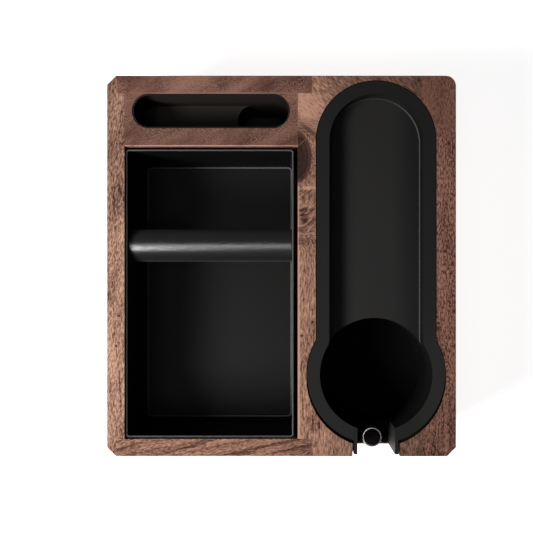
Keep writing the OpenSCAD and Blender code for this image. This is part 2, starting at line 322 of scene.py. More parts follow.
class Nodes:
    """Short calls that add and link shader nodes."""

    def __init__(self, name):
        self.material = bpy.data.materials.new(name)
        self.material.use_nodes = True
        self.tree = self.material.node_tree
        self.shader = self.tree.nodes["Principled BSDF"]

    def node(self, kind, inputs=None, **settings):
        made = self.tree.nodes.new("ShaderNode" + kind)
        for key, value in settings.items():
            setattr(made, key, value)
        for key, value in (inputs or {}).items():
            self.put(value, made.inputs[key])
        return made

    def put(self, value, socket):
        if isinstance(value, bpy.types.NodeSocket):
            self.tree.links.new(value, socket)
        else:
            socket.default_value = value

    def math(self, operation, a, b=0.0, c=0.0):
        return self.node("Math", {0: a, 1: b, 2: c}, operation=operation).outputs[0]

    def add(self, *values):
        total = values[0]
        for value in values[1:]:
            total = self.math("ADD", total, value)
        return total

    def times(self, a, b):
        return self.math("MULTIPLY", a, b)

    def blend(self, factor, a, b):
        made = self.node("Mix", data_type="FLOAT")
        self.put(factor, made.inputs[0])
        self.put(a, made.inputs[2])
        self.put(b, made.inputs[3])
        return made.outputs[0]

    def mix(self, factor, a, b, blend="MIX"):
        made = self.node("Mix", data_type="RGBA", blend_type=blend)
        self.put(factor, made.inputs[0])
        self.put(a, made.inputs[6])
        self.put(b, made.inputs[7])
        return made.outputs[2]

    def step(self, value, start, end):
        """0 at start, 1 at end, eased between."""
        made = self.node("MapRange", interpolation_type="SMOOTHSTEP")
        self.put(value, made.inputs[0])
        made.inputs[1].default_value = start
        made.inputs[2].default_value = end
        return made.outputs[0]

    def ramp(self, factor, stops):
        made = self.node("ValToRGB", {0: factor})
        elements = made.color_ramp.elements
        while len(elements) < len(stops):
            elements.new(1.0)
        for element, (place, colour) in zip(elements, stops):
            element.position = place
            element.color = grey(colour) if isinstance(colour, float) else colour
        return made.outputs[0]

    def noise(self, vector, scale=1.0, detail=2.0, roughness=0.5):
        inputs = {"Vector": vector, "Scale": scale, "Detail": detail, "Roughness": roughness}
        return self.node("TexNoise", inputs).outputs[0]

    def swing(self, amount, *noise):
        """Noise about zero, times amount."""
        return self.math("MULTIPLY_ADD", self.noise(*noise), amount, -amount / 2)

    def place(self):
        """Millimetres in the object's own frame."""
        where = self.node("TexCoord").outputs["Object"]
        scaled = self.node("VectorMath", {0: where, "Scale": 1000.0}, operation="SCALE")
        return scaled.outputs[0]

    def spot(self, place, centre, radii, turn=0.0, soft=0.6):
        """1 in an upright elliptic column, 0 outside it. turn is in degrees, soft its edge's width."""
        local = self.node(
            "Mapping",
            {"Vector": place, "Location": (*centre, 0), "Rotation": (0, 0, math.radians(turn)),
             "Scale": (*radii, 1e6)},
            vector_type="TEXTURE",
        ).outputs[0]
        distance = self.node("VectorMath", {0: local}, operation="LENGTH").outputs["Value"]
        return self.step(distance, 1 + soft, 1 - soft)

    def add_spots(self, place, value, *rows):
        """Adds each row's weight inside its spot. A row is centre, radii, turn, weight, maybe soft."""
        for centre, radii, turn, weight, *soft in rows:
            value = self.add(value, self.times(self.spot(place, centre, radii, turn, *soft), weight))
        return value

    def split(self, vector):
        return self.node("SeparateXYZ", {0: vector}).outputs

    def join(self, x, y, z):
        return self.node("CombineXYZ", {0: x, 1: y, 2: z}).outputs[0]

    def stretch(self, vector, x, y, z, shift=0.0):
        inputs = {0: vector, 1: (x, y, z), 2: (shift, shift, shift)}
        return self.node("VectorMath", inputs, operation="MULTIPLY_ADD").outputs[0]

    def tilted(self):
        """1 where the surface leans between level and upright, as on an eased edge."""
        up = self.split(self.node("NewGeometry").outputs["Normal"])[2]
        return self.times(self.step(up, 0.985, 0.93), self.step(up, 0.1, 0.3))

    def bump(self, height, strength, distance):
        inputs = {"Strength": strength, "Distance": distance, "Height": height}
        return self.node("Bump", inputs).outputs[0]

    def set(self, **values):
        for key, value in values.items():
            self.put(value, self.shader.inputs[key.replace("_", " ")])
        return self.material


def grey(value):
    return (value, value, value, 1.0)


def liner_plastic(name, below):
    """Fine-textured black of colour below, with painted shade at the slot's ends and a painted
    highlight on its rim.
    """
    n = Nodes(name)
    place = n.place()
    x, _, z = n.split(place)
    left, right, top = LINER_LO.x / MM, LINER_HI.x / MM, TOP / MM
    grain = n.noise(place, 2.2, 3.0, 0.6)
    cloud = n.noise(n.stretch(place, 0.03, 0.012, 0.03), 1.0, 2.0)
    colour = n.mix(cloud, tuple(0.9 * c for c in below), tuple(1.1 * c for c in below))
    # Painted shadow: the slot's left end, where the shadow falls, is made nearly black.
    colour = n.mix(n.step(x, left + 14, left + 7), colour, (0.003, 0.003, 0.003, 1))
    level = n.step(z, top - 2, top - 0.7)
    colour = n.mix(level, colour, (0.012, 0.012, 0.0117, 1))
    # Painted shade: the right end of the deep well is made darker.
    right_end_shade = n.times(n.step(x, right - 12, right - 1), n.step(z, top - 1, top - 2))
    colour = n.mix(right_end_shade, colour, (0.011, 0.01, 0.0095, 1))
    # Painted highlight on the rim's eased edges, strongest at the slot's left end.
    rim = n.blend(n.step(x, left + 5, left + 1), 0.1, 0.5)
    colour = n.mix(n.times(n.tilted(), level), colour, rim)
    roughness = n.math("MULTIPLY_ADD", grain, 0.1, 0.5)
    normal = n.bump(grain, 0.25, 0.04 * MM)
    return n.set(Base_Color=colour, Roughness=roughness, Normal=normal, Specular_IOR_Level=0.15)


def cradle_plastic(name):
    """Black, with painted shade on the channel floor towards its walls, down in the well and on the
    sill, and a painted highlight on its eased edges.
    """
    n = Nodes(name)
    place = n.place()
    x, y, z = n.split(place)
    grain = n.noise(place, 2.2, 3.0, 0.6)
    cloud = n.noise(n.stretch(place, 0.03, 0.012, 0.03), 1.0, 2.0)
    colour = n.mix(cloud, (0.021, 0.0199, 0.019, 1), (0.0244, 0.0235, 0.0229, 1))
    from_middle = n.math("ABSOLUTE", n.add(x, -WELL_X / MM))
    # Painted shade: the channel floor darkens towards its walls.
    side = n.step(from_middle, 8.0, 27.0)
    colour = n.mix(side, colour, (0.0105, 0.0105, 0.0104, 1))
    level = n.step(z, TOP / MM - 2, TOP / MM - 0.7)
    front_right = n.spot(place, (98, -72), (16, 40), 0, 0.6)
    top = n.mix(front_right, (0.0138, 0.0137, 0.0134, 1), (0.0212, 0.0206, 0.0196, 1))
    colour = n.mix(level, colour, top)
    # Painted highlight on the eased edges, brighter towards the channel's walls.
    painted_edge_highlight = n.mix(side, (0.035, 0.035, 0.035, 1), (0.07, 0.07, 0.07, 1))
    colour = n.mix(n.tilted(), colour, painted_edge_highlight)
    channel_z, sill_z = CHANNEL_Z / MM, SILL_Z / MM
    # Painted shade: the well darkens with depth, and the sill is made nearly black.
    well_shade = n.times(n.step(z, channel_z - 2, channel_z - 26), n.step(y, -103, -98))
    sill_shade = n.step(z, sill_z + 5, sill_z)
    depth = n.math("MAXIMUM", well_shade, sill_shade)
    colour = n.mix(depth, colour, (0.0008, 0.0008, 0.0008, 1))
    roughness = n.add(n.times(grain, 0.1), 0.48, n.times(depth, 0.35))
    normal = n.bump(grain, 0.25, 0.04 * MM)
    return n.set(Base_Color=colour, Roughness=roughness, Normal=normal, Specular_IOR_Level=0.15)


def coated_steel(name):
    """Satin powder coat, with a painted highlight along its edges."""
    n = Nodes(name)
    place = n.place()
    peel = n.noise(place, 0.9, 2.0)
    patches = n.noise(n.stretch(place, 0.02, 0.02, 0.02, 5.0), 1.0, 2.0)
    colour = n.mix(patches, (0.0066, 0.0063, 0.006, 1), (0.0082, 0.0079, 0.0075, 1))
    # Painted highlight on the rolled rim and the other eased edges.
    colour = n.mix(n.tilted(), colour, (0.15, 0.15, 0.15, 1))
    normal = n.bump(peel, 0.2, 0.05 * MM)
    return n.set(Base_Color=colour, Roughness=0.45, Normal=normal, Specular_IOR_Level=0.15)


def rubber(name, tone, roughness, specular=0.45):
    n = Nodes(name)
    dust = n.noise(n.place(), 1.4, 4.0, 0.7)
    colour = n.mix(dust, grey(tone * 0.8), grey(tone * 1.25))
    normal = n.bump(dust, 0.2, 0.05 * MM)
    return n.set(Base_Color=colour, Roughness=roughness, Normal=normal, Specular_IOR_Level=specular)


def extruded_rubber(name):
    """The bar's satin black, with fine lines along its length."""
    n = Nodes(name)
    place = n.place()
    dust = n.noise(place, 1.4, 4.0, 0.7)
    lines = n.noise(n.stretch(place, 0.2, 1.5, 1.5), 1.0, 3.0, 0.7)
    colour = n.mix(dust, grey(0.0135), grey(0.021))
    normal = n.bump(lines, 1.0, 0.12 * MM)
    return n.set(
        Base_Color=colour, Roughness=0.24, Normal=normal, Specular_IOR_Level=1.0, IOR=1.75,
        Coat_Weight=0.3, Coat_Roughness=0.24, Sheen_Weight=0.07, Sheen_Roughness=0.5,
    )


def metal(name, colour, roughness):
    n = Nodes(name)
    lines = n.noise(n.stretch(n.place(), 0.4, 0.4, 18.0), 1.0, 2.0)
    normal = n.bump(lines, 0.12, 0.02 * MM)
    return n.set(Base_Color=colour, Metallic=1.0, Roughness=roughness, Normal=normal)


def plain_wood(name, dark, light, stretch):
    n = Nodes(name)
    fibre = n.noise(n.stretch(n.place(), *stretch), 1.0, 4.0, 0.65)
    colour = n.mix(fibre, dark, light)
    normal = n.bump(fibre, 0.2, 0.1 * MM)
    return n.set(Base_Color=colour, Roughness=0.65, Normal=normal)


def walnut(name, along, tone, seed, fine=3.6, streak=0.3, slant=0.0, broad=1.4, pores=0.45,
           ring=7.0, rings=0.0, flow=None, shade=None, marks=None, pocket=False, edge_highlight=1.45):
    """Oiled walnut with the mean colour tone, and its grain along an axis.

    fine, broad and pores are the strengths of the fibre, the slow figure and the dark dashes. streak is
    the fibre's width over its length, slant its drift across the board, and rings the strength of
    growth rings a distance ring apart. flow(n, place) gives other coordinates across and along the
    grain, shade(n, place) a factor on the colour, and marks(n, place, value) changes the value that
    picks between dark and light. pocket paints shade into the cradle block's pocket, and onto its
    bottom face too. edge_highlight is how much paler the eased edges are painted, as a painted
    highlight.
    """
    n = Nodes(name)
    place = n.place()
    x, y, z = n.split(place)
    if flow:
        across, length = flow(n, place)
    else:
        across, length = (y, x) if along == "X" else (x, y)
    grain = n.join(across, z, length)
    sway = n.swing(9.0, n.stretch(grain, 0.035, 0.035, 0.014, seed), 1.0, 2.0)
    across = n.add(across, n.times(length, slant), sway)
    grain = n.join(across, z, length)
    fibre = n.swing(fine, n.stretch(grain, 1.1, 1.1, 1.1 * streak, seed), 1.0, 3.0, 0.75)
    figure = n.swing(broad, n.stretch(grain, 0.13, 0.1, 0.03, seed * 2), 1.0, 2.0)
    dash = n.noise(n.stretch(grain, 1.35, 1.35, 1.35 * streak, seed * 3), 1.0, 1.0, 0.6)
    dash = n.step(dash, 0.56, 0.68)
    value = n.add(0.5, fibre, figure, n.times(dash, -pores))
    if rings:
        late = n.math("FRACT", n.math("DIVIDE", n.add(across, n.times(z, 0.35)), ring))
        late = n.times(n.step(late, 0.35, 0.85), n.step(late, 1.0, 0.9))
        value = n.add(value, n.times(late, -rings), rings * 0.3)
    if marks:
        value = marks(n, place, value)
    upright = n.step(n.split(n.node("NewGeometry").outputs["Normal"])[2], 0.6, 0.2)
    value = n.blend(upright, value, side_grain(n, across, length, z, seed))
    dark = tuple(c * k for c, k in zip(tone, (0.33, 0.3, 0.3)))
    light = tuple(c * k for c, k in zip(tone, (1.75, 1.85, 1.9)))
    darkest = tuple(c * k for c, k in zip(tone, (0.11, 0.1, 0.12)))
    value = n.math("MULTIPLY_ADD", value, 0.625, 0.375)
    colour = n.ramp(value, [
        (0.125, (*darkest, 1)), (0.375, (*dark, 1)), (0.6875, (*tone, 1)), (1.0, (*light, 1)),
    ])
    if shade:
        colour = n.mix(1.0, colour, shade(n, place), "MULTIPLY")
    if pocket:
        reach = (WELL_R + FLANGE_W + RECESS_GAP) / MM
        half_depth = -FRONT_LO.y / MM
        from_well = n.math("ABSOLUTE", n.add(x, -WELL_X / MM))
        inside = n.times(n.step(from_well, reach + 0.4, reach + 0.1),
                         n.step(n.math("ABSOLUTE", y), half_depth - 0.6, half_depth - 0.8))
        inside = n.times(inside, n.step(z, TOP / MM - 0.5, TOP / MM - 0.9))
        # Painted shade: the timber in the cradle's pocket, and the bottom face within its outline, is
        # made nearly black.
        colour = n.mix(inside, colour, (0.004, 0.002, 0.0015, 1))
    # Painted highlight: the eased edges are made paler by this factor.
    highlit_edges = n.mix(1.0, colour, grey(edge_highlight), "MULTIPLY")
    colour = n.mix(n.tilted(), colour, highlit_edges)
    height = n.math("SUBTRACT", n.times(fibre, 0.25), dash)
    normal = n.bump(height, 0.3, 0.1 * MM)
    return n.set(Base_Color=colour, Roughness=0.65, Normal=normal, Specular_IOR_Level=0.1)


def side_grain(n, across, length, z, seed):
    """Growth lines, long fibres and pores, which are rings and specks on end grain."""
    grain = n.join(across, z, length)
    fibre = n.swing(1.5, n.stretch(grain, 0.9, 0.9, 0.03, seed), 1.0, 3.0, 0.65)
    pore = n.step(n.noise(n.stretch(grain, 1.6, 1.6, 0.09, seed * 3), 1.0, 1.0), 0.6, 0.7)
    wander = n.swing(16.0, n.stretch(grain, 0.012, 0.03, 0.006, seed * 5), 1.0, 2.0)
    a = n.add(across, 31.0)
    b = n.add(z, 46.0)
    pith = n.add(n.math("SQRT", n.add(n.times(a, a), n.times(b, b))), wander)
    late = n.math("FRACT", n.times(pith, 0.12))
    late = n.times(n.step(late, 0.2, 0.9), n.step(late, 1.0, 0.93))
    return n.add(0.62, fibre, n.times(late, -0.4), n.times(pore, -0.3))


# ---- timber ----


def near(value, target):
    slack = 0.05 * MM
    return abs(value - target) < slack


def on_glue_line(p):
    """True on an edge where two pieces of timber meet."""
    if near(p.x, SEAM_X):
        return True
    if abs(p.y) > LAP_Y - 0.1 * MM:
        if near(p.x, LAP_X0) or near(p.x, LAP_X1):
            return True
        beside_bay = p.x < BAY_X0 + 0.05 * MM or p.x > BAY_X1 - 0.05 * MM
        return near(abs(p.y), LAP_Y) and beside_bay and p.x < LAP_X1 + 0.05 * MM
    return p.y > BAY_Y1 + 0.1 * MM and (near(p.x, BAY_X0) or near(p.x, BAY_X1))


def timber_weight(p):
    return 0.15 if on_glue_line(p) else 1.0


def board(name, outline, z0, z1, *cutters):
    made = loft(name, [at_height(outline, z0), at_height(outline, z1)])
    cut(made, *cutters)
    return ease(made, 0.5 * MM, timber_weight, segments=2)


def stadium(x0, x1, y, r, grow):
    return rounded_rectangle(x0, x1, y - r, y + r, r, grow, 20)


def cradle_pocket():
    """Everything that is cut out of the timber for the cradle."""
    recess = FLANGE_W + RECESS_GAP
    wall = SHELL_T + POCKET_GAP
    half = NECK_R + NECK_WALL + NECK_GAP
    top = TOP + ABOVE
    pocket = prism("pocket", keyhole_at(recess), [(0, RECESS_Z), (0, top)])
    crescent = loft("crescent", [
        at_height(circle(WELL_X, WELL_Y - RECESS_SHIFT, WELL_R + recess), z)
        for z in (RECESS_Z, top)
    ])
    channel = prism("channel", keyhole_at(wall), [(0, POCKET_Z), (0, top)])
    well = loft("well", [
        at_height(circle(WELL_X, WELL_Y, WELL_R + wall), z)
        for z in (TRAY_LO.z - POCKET_GAP, RECESS_Z + 1 * MM)
    ])
    neck = block("neck", WELL_X - half, WELL_X + half, FRONT_LO.y - ABOVE, WELL_Y,
                 SILL_Z - SILL_T, top)
    screw_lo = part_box("rest_screw")[0]
    screw_well = lathe("screw_well", [
        (SCREW_WELL_R, screw_lo.z - SCREW_WELL_BELOW), (SCREW_WELL_R, RECESS_Z),
    ])
    return union(pocket, crescent, channel, well, neck, screw_well)


def keyhole_at(grow):
    return lambda offset: keyhole(grow + offset)


def drill(timber, node):
    """Cuts holes for the round pieces in a CAD node: dowels along X, or screws along Z."""
    for lo, hi in split_boxes(node):
        middle = (lo + hi) / 2
        if node == "joint_dowels":
            r = (hi.z - lo.z) / 2 + FASTENER_PLAY
            rings = rings_about_x(middle.y, middle.z, [(lo.x, r), (hi.x, r)], 32)
        else:
            outline = circle(middle.x, middle.y, WOOD_SCREW_R + FASTENER_PLAY, 32)
            rings = [at_height(outline, z) for z in (lo.z - 1 * MM, hi.z + FASTENER_PLAY)]
        hole = loft("hole", rings)
        cut(timber, hole)
        discard(hole)
    return smooth(timber)


def knot_flow(n, place):
    """Grain that runs round the cradle block's knot, and straight along Y in front of it."""
    x, y = n.split(place)[:2]
    kx, ky = KNOT
    local = n.join(n.add(x, -kx), n.times(n.add(y, -ky), 0.45), 0.0)
    distance = n.node("VectorMath", {0: local}, operation="LENGTH").outputs["Value"]
    around = n.math("ARCTAN2", n.add(y, -ky), n.add(x, -kx + 1))
    behind = n.step(y, 8, 24)
    across = n.blend(behind, x, distance)
    length = n.blend(behind, y, n.times(around, 30.0))
    rear = n.step(y, 79, 90)  # behind the knot the lines slant towards the cradle
    across = n.blend(rear, across, n.times(n.add(x, y), 0.707))
    length = n.blend(rear, length, n.times(n.math("SUBTRACT", x, y), 0.707))
    return across, length


def inner_marks(n, place, value):
    """The knot, the cross bands in front of it and a few pin knots."""
    kx, ky = KNOT
    x, y = n.split(place)[:2]
    knot = n.spot(place, (kx - 1.5, ky), (9.6, 15.6), soft=0.09)
    halo = n.spot(place, (kx, ky - 1), (12.0, 21.0), soft=0.3)
    local = n.join(n.add(x, -kx), n.times(n.add(y, -ky), 0.5), 0.0)
    distance = n.node("VectorMath", {0: local}, operation="LENGTH").outputs["Value"]
    rings = n.math("SINE", n.times(n.add(distance, value), 2.8))
    value = n.add(value, n.times(halo, -0.16))
    bands = [
        ((16, 97), (9.0, 9.0), -25, 0.42, 0.5), ((10.1, -48), (0.9, 72.0), 0, 0.9, 0.4),
        ((29, -108), (13.0, 11.0), 0, 0.1, 0.3), ((10.1, 40), (0.7, 12.0), 0, 0.5, 0.4),
        ((17.1, 81.2), (7.5, 1.3), -40, -0.38, 0.5), ((13.3, 80.8), (6.5, 0.7), -45, -0.28),
        ((15, 78.0), (8.5, 0.5), -50, 0.22), ((19.5, 84.5), (7.0, 0.5), -42, 0.15),
        ((14, 46.9), (9.0, 0.9), 0, 0.5, 0.8), ((12, 42.6), (9.0, 2.6), 0, -0.28, 0.5),
        ((12, 33.8), (7.0, 1.3), 4, -0.4, 0.5), ((13.6, 28.5), (1.9, 2.6), 0, -0.6, 0.5),
        ((14, 31.0), (3.4, 0.5), 8, -0.35), ((13, 15.2), (9.0, 3.0), 0, -0.34),
        ((18.5, -26.5), (0.5, 0.6), 0, -0.7), ((18.7, -33.7), (0.6, 0.8), 0, -0.9, 0.5),
        ((12.2, -42.0), (0.7, 0.5), 0, -0.6), ((22.6, -95.5), (0.7, 2.6), 8, -0.5),
        ((18.9, -94.0), (0.4, 5.0), 0, -0.6), ((12.9, -90.0), (0.35, 12.0), 1, -0.45, 0.8),
    ]
    value = n.add_spots(place, value, *bands)
    core = n.spot(place, (kx - 1, ky - 1.5), (6.4, 12.0), soft=0.3)
    crack = n.spot(place, (kx + 1.5, ky + 8), (5.5, 0.3), 42, 0.8)
    inside = n.add(n.times(rings, 0.1), n.times(core, -0.24), n.times(crack, 0.5), -0.3)
    return n.blend(knot, value, n.add(inside, n.times(value, 0.3)))


def left_marks(n, place, value):
    """Pin knots and short dark lines."""
    return n.add_spots(
        place, value,
        ((-97.6, -30.1), (0.6, 0.6), 0, -0.8), ((-99.4, -48.1), (0.8, 0.9), 0, -0.9),
        ((-99.3, -53.0), (0.35, 3.5), 0, -0.5), ((-97.2, -73.0), (0.4, 15.0), 3, -0.6),
        ((-100.6, -39.0), (0.3, 8.0), -6, -0.4), ((-101.0, 40.0), (0.9, 20.0), 4, -0.3),
        ((-97.5, 46.5), (0.9, 3.0), 10, -0.45), ((-103.0, 70.0), (0.4, 9.0), 0, 0.2),
        ((-99.0, 108.0), (0.5, 7.0), 0, 0.5),
    )


def front_marks(n, place, value):
    """Slanting dark growth lines, and the darker ends."""
    return n.add_spots(
        place, value,
        ((-51, -107.6), (9.0, 0.8), 14, -0.5), ((-52, -106.9), (14.0, 1.8), 14, -0.22),
        ((-14, -109.5), (26.0, 0.7), 12, -0.36), ((-88, -107), (14.0, 0.7), 18, -0.3),
        ((-24, -112.9), (8.0, 1.0), 6, -0.45), ((6, -110), (16.0, 0.6), 14, -0.3),
        ((12, -109), (12.0, 5.5), 0, -0.32), ((-93, -110), (6.0, 6.0), 0, -0.22),
        ((-75, -108), (16.0, 6.0), 0, -0.08), ((-68, -112), (18.0, 0.7), 12, -0.35),
        ((-40, -105.6), (15.0, 0.6), 8, 0.2),
    )


def tool_marks(n, place, value):
    """Slanting pale and dark figure, patches of pale flecks, and painted highlight lines along its
    edges.
    """
    slanted = n.node("VectorRotate", {"Vector": place, "Angle": math.radians(-32)},
                     rotation_type="Z_AXIS").outputs[0]
    figure = n.swing(1.25, n.stretch(slanted, 0.022, 0.14, 0.03, 4.0), 1.0, 2.0, 0.5)
    speck = n.step(n.noise(n.stretch(place, 1.3, 1.7, 1.0, 9.0), 1.0, 1.0, 0.5), 0.54, 0.6)
    patch = n.step(n.noise(n.stretch(slanted, 0.035, 0.09, 0.03, 21.0), 1.0, 1.0), 0.44, 0.54)
    value = n.add(value, -0.03, figure, n.times(n.times(speck, patch), 0.85))
    return n.add_spots(
        place, value,
        # Painted highlights: thin pale lines along the front edge and the slot's rear edge.
        ((-48, TOOL_LO.y / MM + 0.3), (60.0, 0.4), 0, 0.5),
        ((-42, LINER_HI.y / MM + 0.45), (44.0, 0.35), 0, 0.7),
        ((-55, 111), (12.0, 5.0), 20, 0.22), ((-24, 110), (9.0, 4.0), 25, 0.14),
        ((-35, 110), (4.0, 4.0), 30, -0.15), ((-9, 109), (6.0, 4.0), 25, -0.12),
        ((-96, 100), (4.0, 16.0), -20, -0.12), ((16, 109.5), (9.0, 6.0), 0, -0.24),
        ((-99.5, 109.5), (0.5, 4.0), 0, 0.4),
    )


def outer_marks(n, place, value):
    """Plain dark wood at the rear, speckled in the middle, striped at the front."""
    y = n.split(place)[1]
    plain = n.add(n.times(value, 0.35), 0.27)
    value = n.blend(n.times(n.step(y, 74, 84), 0.9), value, plain)
    stripes = n.swing(1.6, n.stretch(place, 0.45, 0.01, 0.3, 12.0), 1.0, 2.0, 0.6)
    return n.add(value, n.times(n.step(y, -60, -82), stripes))


def graded(axis, *stops):
    """A shade that follows (place in mm, factor) stops along axis 0, X, or 1, Y."""
    first, last = stops[0][0], stops[-1][0]

    def shade(n, place):
        share = n.node("MapRange", {0: n.split(place)[axis], 1: first, 2: last}).outputs[0]
        return n.ramp(share, [((p - first) / (last - first), f) for p, f in stops])

    return shade


def build_timber():
    z0 = LEFT_LO.z
    floor_room = block("floor_room", FLOOR_LO.x, FLOOR_HI.x, FLOOR_LO.y, FLOOR_HI.y,
                       z0 - ABOVE, FLOOR_HI.z)
    x0, x1, y0, y1 = LEFT_LO.x, OUTER_HI.x, LEFT_LO.y, LEFT_HI.y
    left = board("left_board_wood", [
        (x0 + CORNER_CUT, y0), (LAP_X0, y0), (LAP_X0, BAY_Y0), (BAY_X0, BAY_Y0),
        (BAY_X0, LAP_Y), (LAP_X0, LAP_Y), (LAP_X0, y1), (x0 + CORNER_CUT, y1),
        (x0, y1 - CORNER_CUT), (x0, y0 + CORNER_CUT),
    ], z0, TOP, floor_room)
    front = board("front_board_wood", [
        (LAP_X0, y0), (LAP_X1, y0), (LAP_X1, BAY_Y0), (LAP_X0, BAY_Y0),
    ], z0, TOP, floor_room)

    slot_y = (LINER_LO.y + LINER_HI.y) / 2
    slot_r = (LINER_HI.y - LINER_LO.y) / 2 + LINER_PLAY
    slot_x0, slot_x1 = LINER_LO.x - LINER_PLAY, LINER_HI.x + LINER_PLAY
    shelf = prism("shelf", lambda d: stadium(slot_x0, slot_x1, slot_y, slot_r, d),
                  [(0, TOP - SHELF_DEPTH - LINER_T), (0, TOP + ABOVE)])
    deep = prism("deep", lambda d: stadium(slot_x1 - WELL_L, slot_x1, slot_y, slot_r, d),
                 [(0, LINER_LO.z), (0, TOP - SHELF_DEPTH)])
    tool = board("tool_block_wood", [
        (BAY_X0, BAY_Y1), (BAY_X1, BAY_Y1), (BAY_X1, LAP_Y), (LAP_X1, LAP_Y),
        (LAP_X1, y1), (LAP_X0, y1), (LAP_X0, LAP_Y), (BAY_X0, LAP_Y),
    ], z0, TOP, shelf, deep, floor_room)

    pocket = cradle_pocket()
    inner = board("cradle_block_inner_wood", [
        (LAP_X1, y0), (SEAM_X, y0), (SEAM_X, y1), (LAP_X1, y1),
        (LAP_X1, LAP_Y), (BAY_X1, LAP_Y), (BAY_X1, BAY_Y0), (LAP_X1, BAY_Y0),
    ], z0, TOP, pocket, floor_room)
    rear_corner = arc(x1 - REAR_CORNER_R, y1 - REAR_CORNER_R, REAR_CORNER_R, 0, 90, 10)
    outer = board("cradle_block_outer_wood", [
        (SEAM_X, y0), (x1 - CORNER_CUT, y0), (x1, y0 + CORNER_CUT), *rear_corner,
        (SEAM_X, y1),
    ], z0, TOP, pocket)
    discard(floor_room, shelf, deep, pocket)
    for timber in (left, tool, inner):
        drill(timber, "joint_dowels")
    for timber in (tool, inner):
        drill(timber, "floor_screws")

    finish_piece(left, "stand", "walnut", walnut(
        "walnut_left", "Y", (0.345, 0.188, 0.128), 3.1, fine=3.7, streak=0.3, slant=-0.16, pores=0.28,
        shade=graded(1, (-114, 1.0), (-40, 1.1), (30, 1.08), (114, 0.8)), marks=left_marks,
    ), "left_board")
    finish_piece(front, "stand", "walnut", walnut(
        "walnut_front", "X", (0.325, 0.162, 0.109), 31.0, fine=2.8, broad=0.8, slant=-0.2,
        ring=5.5, rings=0.22, marks=front_marks,
    ), "front_board")
    tool_y = TOOL_LO.y / MM
    finish_piece(tool, "stand", "dark_walnut", walnut(
        "walnut_tool", "X", (0.2, 0.096, 0.069), 57.0, fine=1.5, broad=0.3, streak=0.5,
        pores=0.12, marks=tool_marks, edge_highlight=2.2,
        # The 1.9 stops paint a highlight line along the front edge.
        shade=graded(1, (tool_y, 1.9), (tool_y + 0.55, 1.9), (tool_y + 0.85, 0.82),
                     (87, 0.9), (100, 1.0), (114.5, 1.03)),
    ), "tool_block")
    finish_piece(inner, "stand", "walnut", walnut(
        "walnut_inner", "Y", (0.352, 0.184, 0.124), 83.0, fine=3.6, broad=1.0, streak=0.2,
        pores=0.32, flow=knot_flow, marks=inner_marks, pocket=True,
        shade=graded(0, (10, 1.0), (24, 0.95), (36, 0.68), (75, 0.5), (85, 0.45)),
    ), "cradle_block_inner_stave")
    finish_piece(outer, "stand", "dark_walnut", walnut(
        "walnut_outer", "Y", (0.24, 0.11, 0.076), 101.0, fine=5.2, streak=0.35, pores=0.5,
        pocket=True,
        shade=graded(1, (-114, 0.8), (-86, 0.72), (-60, 1.0), (40, 1.0), (80, 0.98), (114, 0.93)),
        marks=outer_marks,
    ), "cradle_block_outer_stave")


# ---- cradle ----


def build_cradle(plastic):
    half = NECK_R + NECK_WALL
    top = TOP + ABOVE
    tray = prism("cradle_tray_moulding", keyhole_at(FLANGE_W), [(0, RECESS_Z), (0, TOP)])
    channel_body = prism("channel_body", keyhole_at(SHELL_T),
                         rounded_profile(CHANNEL_Z - SHELL_T, TOP - 1 * MM, low_r=5 * MM))
    well_body = prism("well_body", lambda d: circle(WELL_X, WELL_Y, WELL_R + SHELL_T + d),
                      rounded_profile(TRAY_LO.z, TOP - 1 * MM, low_r=5 * MM))
    neck_body = block("neck_body", WELL_X - half, WELL_X + half, TRAY_LO.y, WELL_Y,
                      SILL_Z - SILL_T, TOP)
    union(tray, channel_body, well_body, neck_body)
    channel = prism("channel", keyhole_at(0.0),
                    rounded_profile(CHANNEL_Z, top, low_r=CHANNEL_FILLET))
    well = prism("well", lambda d: circle(WELL_X, WELL_Y, WELL_R - 0.01 * MM + d),
                 rounded_profile(WELL_Z, CHANNEL_Z + 6 * MM, low_r=WELL_FILLET))
    neck = block("neck", WELL_X - NECK_R, WELL_X + NECK_R, TRAY_LO.y - ABOVE, WELL_Y,
                 SILL_Z, top)
    sill_front = block("sill_front", WELL_X - NECK_R, WELL_X + NECK_R, TRAY_LO.y - ABOVE,
                       TRAY_LO.y + SILL_SET_BACK, SILL_Z - SILL_T - 1 * MM, SILL_Z + 1 * MM)
    insert_lo, insert_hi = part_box("rest_insert")
    insert_r = (insert_hi.x - insert_lo.x) / 2
    insert_hole = lathe("insert_hole", [
        (insert_r, SILL_Z - 2 * SILL_T), (insert_r, SILL_Z + 1 * MM),
    ])
    cut(tray, channel, well, neck, sill_front, insert_hole)
    discard(channel, well, neck, sill_front, insert_hole)
    ease(tray, 0.4 * MM)
    finish_piece(tray, "cradle", "moulded_plastic", plastic, "cradle_tray")


